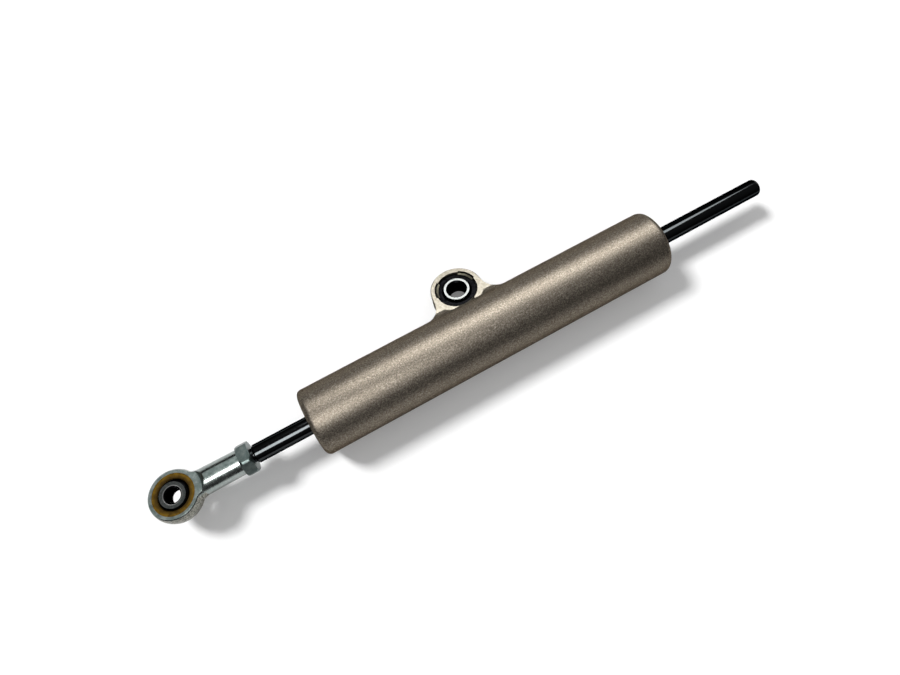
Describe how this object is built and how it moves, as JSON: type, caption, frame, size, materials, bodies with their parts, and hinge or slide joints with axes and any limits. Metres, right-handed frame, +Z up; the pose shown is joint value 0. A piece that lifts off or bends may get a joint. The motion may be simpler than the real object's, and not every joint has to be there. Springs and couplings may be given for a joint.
{
  "type": "steering damper",
  "caption": "Motorcycle steering damper: a matte bronze-grey barrel with a side lug and spherical bearing, a through rod in gloss black and a plated rod end.",
  "frame": {"origin": "middle of the bounding box's floor, on the table that the damper rests on", "axes": "+X along the rod from the rod end to the free tip, +Z up, the lug towards +Y and drooping to the table"},
  "size_m": [0.2963, 0.0494, 0.0294],
  "materials": {
    "bronze_anodised": "matte blasted titanium-bronze anodising with fine sparkle, lug faces bare machined metal",
    "black_steel": "blackened bearing steel, satin",
    "black_rod": "glossy black coating on ground steel",
    "zinc_plate": "bright zinc plate with a cold cast, rough forging on the rim",
    "race_bronze": "dark ochre bronze, satin",
    "ball_steel": "dark ground steel, bright at the edges",
    "guide_aluminium": "turned aluminium, satin",
    "bush_bronze": "plain bearing bronze",
    "seal_rubber": "black nitrile rubber",
    "spring_steel": "dark phosphated spring steel",
    "shim_steel": "blank spring steel strip",
    "ring_polymer": "filled fluoropolymer"
  },
  "bodies": {
    "barrel": {"cylinder_body": "bronze_anodised", "lug_bearing_race": "black_steel", "left_rod_guide": "guide_aluminium", "right_rod_guide": "guide_aluminium", "left_guide_bush": "bush_bronze", "right_guide_bush": "bush_bronze", "left_rod_seal": "seal_rubber", "right_rod_seal": "seal_rubber", "left_wiper": "seal_rubber", "right_wiper": "seal_rubber", "left_guide_o_ring": "seal_rubber", "right_guide_o_ring": "seal_rubber", "left_circlip": "spring_steel", "right_circlip": "spring_steel"},
    "piston_group": {"piston": "guide_aluminium", "piston_ring": "ring_polymer", "left_shim_stack": "shim_steel", "right_shim_stack": "shim_steel"},
    "rod_group": {"piston_rod": "black_rod", "left_piston_clip": "spring_steel", "right_piston_clip": "spring_steel", "rod_end_housing": "zinc_plate", "rod_end_race": "race_bronze"},
    "lug_ball": {"lug_bearing_ball": "black_steel"},
    "eye_ball": {"rod_end_ball": "ball_steel"}
  },
  "joints": [
    {"name": "rod_slide", "type": "slide", "parent": "barrel", "child": "piston_group", "axis": [1, 0, 0], "range_m": [-0.05, 0.024]},
    {"name": "rod_spin", "type": "hinge", "parent": "piston_group", "child": "rod_group", "pos_m": [0.00295, -0.01005, 0.0147], "axis": [1, 0, 0], "continuous": true},
    {"name": "lug_ball_turn", "type": "hinge", "parent": "barrel", "child": "lug_ball", "pos_m": [0.00295, 0.01248, 0.00734], "axis": [0, 0.3105, 0.9506], "continuous": true},
    {"name": "rod_end_ball_turn", "type": "hinge", "parent": "rod_group", "child": "eye_ball", "pos_m": [-0.13755, -0.01005, 0.0147], "axis": [0, 0.0887, 0.9961], "continuous": true}
  ]
}
